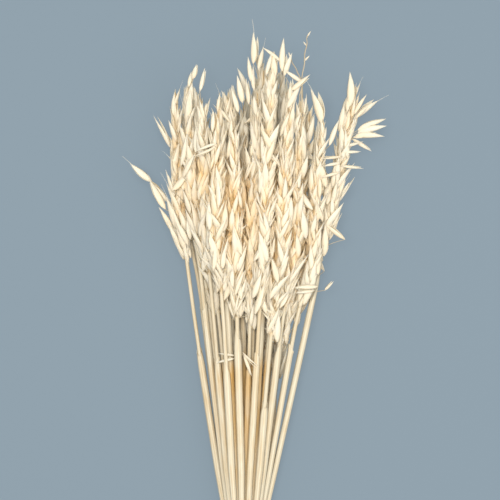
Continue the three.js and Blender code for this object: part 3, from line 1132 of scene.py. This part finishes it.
# The left heads: one spikelet leans far out, some hang across the gap, rounded grains at the top.
LEFT_SPIKELETS = (
    Loose((-75, 306), (-92, 334), Kind.CLOSED, 0.9),
    Loose((-68, 284), (-79, 310)),
    Loose((-61, 265), (-71, 298), Kind.SLIM, 0.8),
    Loose((-71, 365), (-83, 397), Kind.CLOSED, 0.8),
    Loose((-58, 336), (-47, 360), Kind.CLOSED, 0.9),
    Loose((-60, 347), (-51, 375)),
    Loose((-26, 367), (-47, 361), Kind.HUSK),
    Loose((-27, 364), (-47, 352), Kind.HUSK),
    Loose((-49, 428), (-44, 442), Kind.OPEN, 1.3),
    Loose((-53, 421), (-49, 435), Kind.OPEN, 1.2),
    Loose((-42, 416), (-37, 439)),
)
# The crown: spikelets that step up to the tallest from the left, and husks at all angles between them.
CROWN_SPIKELETS = (
    Loose((-6, 396), (-11, 420), Kind.CLOSED, 0.9),
    Loose((-2, 405), (-6, 431), Kind.CLOSED),
    Loose((4, 404), (1, 429), Kind.CLOSED, 0.9),
    Loose((2, 414), (-2, 441), Kind.CLOSED, 0.9),
    Loose((9, 417), (5, 441)),
    Loose((7, 424), (2, 449), Kind.CLOSED, 0.8),
    Loose((8, 442), (12, 471), Kind.AWNED),
    Loose((13, 436), (17, 458), Kind.AWNED, 0.9),
    Loose((33, 444), (18, 458), Kind.HUSK, 1.2),
    Loose((20, 430), (25, 452)),
    Loose((35, 434), (34, 466)),
    Loose((37, 430), (42, 452), Kind.OPEN),
    Loose((54, 424), (36, 436), Kind.CLOSED, 0.8),
    Loose((42, 416), (62, 430), Kind.CLOSED),
    Loose((40, 400), (52, 424), Kind.CLOSED),
    Loose((72, 387), (71, 420), Kind.AWNED, 1.25),
    Loose((80, 366), (88, 392)),
)
# The right head nods: its top spikelets point up, then sideways, then down, and husks bristle below them.
RIGHT_SPIKELETS = (
    Loose((99, 403), (106, 435), Kind.OPEN),
    Loose((97, 398), (99, 426), Kind.CLOSED, 0.8),
    Loose((104, 396), (113, 416)),
    Loose((105, 392), (117, 407)),
    Loose((89, 380), (97, 406), Kind.CLOSED),
    Loose((107, 381), (133, 395), Kind.CLOSED, 0.9),
    Loose((107, 379), (134, 388), Kind.CLOSED),
    Loose((105, 376), (132, 380), Kind.CLOSED),
    Loose((103, 374), (125, 379)),
    Loose((102, 373), (121, 361), Kind.CLOSED, 0.8),
    Loose((93, 366), (113, 368), Kind.HUSK),
    Loose((92, 360), (110, 361), Kind.HUSK),
    Loose((92, 356), (71, 352), Kind.HUSK),
    Loose((91, 350), (72, 347), Kind.HUSK),
    Loose((91, 347), (113, 345), Kind.HUSK),
    Loose((90, 341), (70, 336), Kind.HUSK),
)
TWIGS = (
    Twig(
        bends=((52, 412), (54, 428), (56, 445), (58, 460), (59, 469)),
        buds=(Loose((56, 445), (61, 450)), Loose((58, 459), (55, 463)), Loose((59, 468), (62, 473))),
    ),
    Twig(bends=((54, 416), (52, 430), (46, 440), (43, 448)), buds=(Loose((43, 447), (41, 453)),)),
)


@dataclass
class Strays:
    """What hangs apart from the heads, each on the stalk that lies under its foot."""

    pile: Pile
    origin: np.ndarray  # the band's middle
    proud: float = 1.5  # how far above the pile a foot lies
    tilt: float = 0.2  # how far one end lies above the other, at most, as a share of the length
    root_below: float = 14.0  # where its branchlet leaves the stalk
    husk_root_below: float = 2.0
    twig_radius: float = 0.5
    twig_root_below: float = 30.0
    bud_girth: float = 1.4

    def sprigs(self) -> dict[str, list[Sprig]]:
        """Places the loose spikelets and the twigs' buds.

        Returns:
            What each stalk carries, by its node.
        """
        found: dict[str, list[Sprig]] = {}
        for loose in LOW_HUSKS + LEFT_SPIKELETS + CROWN_SPIKELETS + RIGHT_SPIKELETS:
            line, foot, tip = self._place(loose.foot, loose.tip)
            below = self.husk_root_below if loose.kind is Kind.HUSK else self.root_below
            root = line.middle(np.array([foot[1] - below]))
            found.setdefault(line.node, []).append(self._sprig(foot, tip, root, loose.kind, loose.girth))
        for twig in TWIGS:
            line, low, _ = self._place(twig.bends[0], twig.bends[-1])
            for bud in twig.buds:
                foot, tip = (np.array([*self._flat(end), low[2]]) for end in (bud.foot, bud.tip))
                root = foot[None] - [[0.0, 1.0, 0.0]]
                found.setdefault(line.node, []).append(self._sprig(foot, tip, root, bud.kind, self.bud_girth))
        return found

    def twigs(self, straws: dict[str, MeshBuilder]) -> None:
        """Adds the bare twigs, each growing from the middle of its stalk.

        Args:
            straws: Each stalk's straw mesh, by its node.
        """
        for twig in TWIGS:
            line, low, _ = self._place(twig.bends[0], twig.bends[-1])
            root = line.middle(np.array([low[1] - self.twig_root_below]))
            bends = np.concatenate([root, [[*self._flat(bend), low[2]] for bend in twig.bends]])
            share = np.linspace(0, len(bends) - 1, 20)
            path = between(share, np.arange(len(bends)), bends)
            path[:, 0] += 0.5 * np.sin(share * 5)
            radii = self.twig_radius * np.linspace(1.1, 0.7, len(path))
            straws[line.node].tubes(path[None], radii[None], 5, np.array([0.5]), np.array([0.3]))

    def _flat(self, place: tuple[float, float]) -> tuple[float, float]:
        """A place across and along from the band's middle, in the frame."""
        return self.origin[0] + place[0], self.origin[1] + place[1]

    def _place(
        self, foot: tuple[float, float], tip: tuple[float, float]
    ) -> tuple[StalkLine, np.ndarray, np.ndarray]:
        """The stalk under a foot, and both ends as points, lying on the pile and nearly level."""
        ends = []
        for x, y in map(self._flat, (foot, tip)):
            ends.append(np.array([x, y, min(self.pile.top(x, y) + self.proud, self.pile.highest)]))
        least = max(end[2] for end in ends) - self.tilt * float(np.linalg.norm(ends[1][:2] - ends[0][:2]))
        for end in ends:
            end[2] = max(end[2], least)
        return self.pile.stalk_at(*ends[0][:2]), ends[0], ends[1]

    def _sprig(self, foot: np.ndarray, tip: np.ndarray, root: np.ndarray, kind: Kind, girth: float) -> Sprig:
        """One spikelet as a sprig. A husk's width goes by its kind and any other's by its length."""
        length = float(np.linalg.norm(tip - foot))
        wide = girth * kind.spikelet.length / length if kind is Kind.HUSK else girth
        up, lengths, girths = np.array([[0.0, 0.0, 1.0]]), np.array([length]), np.array([wide])
        return Sprig(foot[None], unit((tip - foot)[None]), up, lengths, root, girths, [kind])


# ---- The elastic band ----


@dataclass
class ElasticBand:
    """A rubber band wound three times round the stems, its last turn crossing back over the others."""

    turns: int = 3
    strand_thickness: float = 1.15
    strand_share: float = 0.94  # of a turn's room that the strand fills
    inside: float = 0.05  # how far it keeps within its solid
    crossing: float = 0.22  # share of the last turn in which it crosses back
    steps: int = 72  # for each turn
    corner_points: int = 12
    squareness: float = 0.6  # of the strand's section: 1 is round, 0 is square

    def build(self, material: bpy.types.Material) -> bpy.types.Object:
        """Builds the band inside the space of its solid.

        Args:
            material: Its finish.

        Returns:
            The new object.
        """
        low, high = band_corners()
        middle, half = (low + high) / 2, (high - low) / 2
        width = 2 * half[1] / self.turns
        turn = np.linspace(0, self.turns, self.steps * self.turns, endpoint=False)
        angle = FULL_TURN * turn
        leaves = self.turns - self.crossing
        crossed = np.clip((turn - leaves) / self.crossing, 0, 1)
        crossed = crossed * crossed * (3 - 2 * crossed)
        lift = self.strand_thickness * np.sin(math.pi * crossed)
        shift = (turn / leaves).clip(0, 1) * (1 - crossed) * (self.turns - 1) * width
        radius = self._outline(angle, half) - self.strand_thickness / 2 - self.inside + lift
        path = middle + radius[:, None] * around(angle)
        path[:, 1] = low[1] + width / 2 + shift
        forward = unit(np.roll(path, -1, axis=0) - np.roll(path, 1, axis=0))
        flat = unit(np.cross(forward, around(angle)))
        outward = np.cross(flat, forward)
        section = circle(self.corner_points)
        squared = np.stack([np.cos(section), np.sin(section)], axis=-1)
        squared = np.sign(squared) * np.abs(squared) ** self.squareness
        rings = (
            path[:, None]
            + flat[:, None] * (squared[:, 0] * width * self.strand_share / 2)[None, :, None]
            + outward[:, None] * (squared[:, 1] * self.strand_thickness / 2)[None, :, None]
        )
        quads, triangles = loft_faces(len(rings), self.corner_points, wrapped=True)
        points = rings.reshape(-1, 3)
        mesh = MeshBuilder()
        shape = Shape(points, quads, triangles, np.zeros((len(points), 2)))
        mesh.add(points[None], shape, np.zeros(1), np.zeros(1))
        return mesh.finish("wound_elastic_band", material)

    def _outline(self, angle: np.ndarray, half: np.ndarray) -> np.ndarray:
        """How far the solid reaches at some angles: a hexagon with rounded corners, one of them on each side.

        Args:
            angle: Round the stems, from one side.
            half: Half of the solid's size along each axis.

        Returns:
            Its radius at each angle.
        """
        flat_side, corner = half[2], half[0]
        tilt = math.pi / 6  # from a corner to the middle of a flat side
        round_radius = (flat_side - corner * math.cos(tilt)) / (1 - math.cos(tilt))
        centre = corner - round_radius
        from_corner = np.abs((angle + tilt) % (2 * tilt) - tilt)
        straight = flat_side / np.cos(tilt - from_corner)
        bulge = np.maximum(round_radius**2 - (centre * np.sin(from_corner)) ** 2, 0)
        rounded = centre * np.cos(from_corner) + np.sqrt(bulge)
        corner_ends = math.atan2(round_radius * math.sin(tilt), centre + round_radius * math.cos(tilt))
        return np.where(from_corner < corner_ends, rounded, straight)


# ---- The studio ----


@dataclass(frozen=True)
class Lamp:
    """A square soft light that points at what the camera looks at."""

    name: str
    place: tuple[float, float, float]  # from the point that the camera looks at
    side: float
    watts: float
    colour: str


LAMPS = (
    # Nearly straight above, so that its light reaches down between the husks.
    Lamp("key", (-130.0, 160.0, 2000.0), side=700.0, watts=48.0, colour="FFFBF3"),
    # Wide and from the right, so that each husk is a little paler on one side.
    Lamp("fill", (900.0, -500.0, 1300.0), side=1300.0, watts=10.0, colour="FFFBF4"),
)


@dataclass
class Studio:
    """The card that the bundle lies on, the lights and the camera straight above."""

    view_height: float = 475.0  # how much of the table the camera takes in, top to bottom
    camera_distance: float = 2200.0
    sensor: float = 36.0
    aim_from_band: tuple[float, float] = (5.0, 267.5)  # the view's middle, across and along from the band's
    aim_height: float = 40.0
    card_size: float = 12000.0
    sky: str = "F4F2EE"
    sky_strength: float = 0.84
    bounces: int = 10  # between pale skins light goes on and on, and turns golden

    def build(self) -> None:
        """Builds the card, the lights, the world and the camera."""
        low, high = band_corners()
        aim = (low + high) / 2 + np.array([*self.aim_from_band, 0.0])
        aim[2] = self.aim_height
        self._card()
        self._world()
        for lamp in LAMPS:
            self._light(lamp, aim)
        self._camera(aim)

    def _card(self) -> None:
        """Lays the card."""
        bpy.ops.mesh.primitive_plane_add(size=self.card_size * MM, location=(0, 0, 0))
        card = bpy.context.active_object
        card.name = "card"
        card.data.materials.append(Backdrop().make())

    def _world(self) -> None:
        """Lights everything evenly from a pale sky."""
        world = bpy.data.worlds.new("studio")
        bpy.context.scene.world = world
        world.use_nodes = True
        background = world.node_tree.nodes["Background"]
        background.inputs["Color"].default_value = linear(self.sky)
        background.inputs["Strength"].default_value = self.sky_strength

    def _light(self, lamp: Lamp, aim: np.ndarray) -> None:
        """Hangs one lamp, pointed at the bundle.

        Args:
            lamp: The lamp.
            aim: The point that the camera looks at.
        """
        data = bpy.data.lights.new(lamp.name, "AREA")
        data.size = lamp.side * MM
        data.energy = lamp.watts
        data.color = linear(lamp.colour)[:3]
        light = bpy.data.objects.new(lamp.name, data)
        bpy.context.scene.collection.objects.link(light)
        light.location = (aim + np.array(lamp.place)) * MM
        light.rotation_euler = towards(-np.array(lamp.place))

    def _camera(self, aim: np.ndarray) -> None:
        """Hangs the camera straight above, with the heads at the top of its view."""
        data = bpy.data.cameras.new("camera")
        data.sensor_width = self.sensor
        data.lens = self.sensor * self.camera_distance / self.view_height
        data.clip_end = 100.0
        camera = bpy.data.objects.new("camera", data)
        bpy.context.scene.collection.objects.link(camera)
        camera.location = (aim + np.array([0.0, 0.0, self.camera_distance])) * MM
        bpy.context.scene.camera = camera
        bpy.context.scene.view_settings.view_transform = "Standard"
        bpy.context.scene.cycles.diffuse_bounces = self.bounces


def towards(direction: np.ndarray) -> tuple[float, float, float]:
    """The turn that points a light, which shines along its own -Z, in a direction."""
    x, y, z = direction / np.linalg.norm(direction)
    return math.acos(-z), 0.0, math.atan2(y, x) - math.pi / 2


# ---- The bundle ----


@dataclass
class Bundle:
    """All stalks and the band."""

    solids: dict[str, bpy.types.Object]  # each stalk's solid, by its node
    head_room: float = 0.5  # how far above the highest solid a husk's foot or tip lies, at most

    def build(self) -> None:
        """Builds every stalk's straw and head, and the band, and puts each on the frame."""
        straw, husk = STRAW.make(), HUSK.make()
        low, high = band_corners()
        lines = [StalkLine(node, self.solids[node]) for node in sorted(self.solids)]
        pile = Pile(lines)
        strays = Strays(pile, (low + high) / 2)
        sprigs = strays.sprigs()
        straws = {line.node: MeshBuilder() for line in lines}
        husks = {line.node: MeshBuilder() for line in lines}
        for number, line in enumerate(lines, start=1):
            Straw(line, low[1], high[1], number).build(straws[line.node])
            ceiling, extra = pile.highest + self.head_room, sprigs.get(line.node, [])
            head = Panicle(line, number, ceiling=ceiling, extra=extra)
            head.build(husks[line.node], straws[line.node])
        strays.twigs(straws)
        for number, line in enumerate(lines, start=1):
            stem = straws[line.node].finish(f"oat_straw_{number:02d}", straw, pile, line)
            head = husks[line.node].finish(f"oat_head_{number:02d}", husk, pile, line)
            hand_over(stem, line.node)
            hand_over(head, line.node)
        hand_over(ElasticBand().build(Latex().make()), BAND)


def hand_over(piece: bpy.types.Object, node: str) -> None:
    """Puts a piece on the frame in place of a node's solid, and logs it.

    Args:
        piece: The piece.
        node: The node that it shows.
    """
    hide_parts(node)
    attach(piece, ROOT)
    LOG.info("%s: %d faces", piece.name, len(piece.data.polygons))


def main() -> None:
    """Builds the studio and the bundle round the frame."""
    logging.basicConfig(level=logging.INFO, format="%(name)s: %(message)s")
    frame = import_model()
    Studio().build()
    Bundle({name: node for name, node in frame["nodes"].items() if name.startswith("oat_stalk")}).build()


if __name__ == "__main__":
    main()
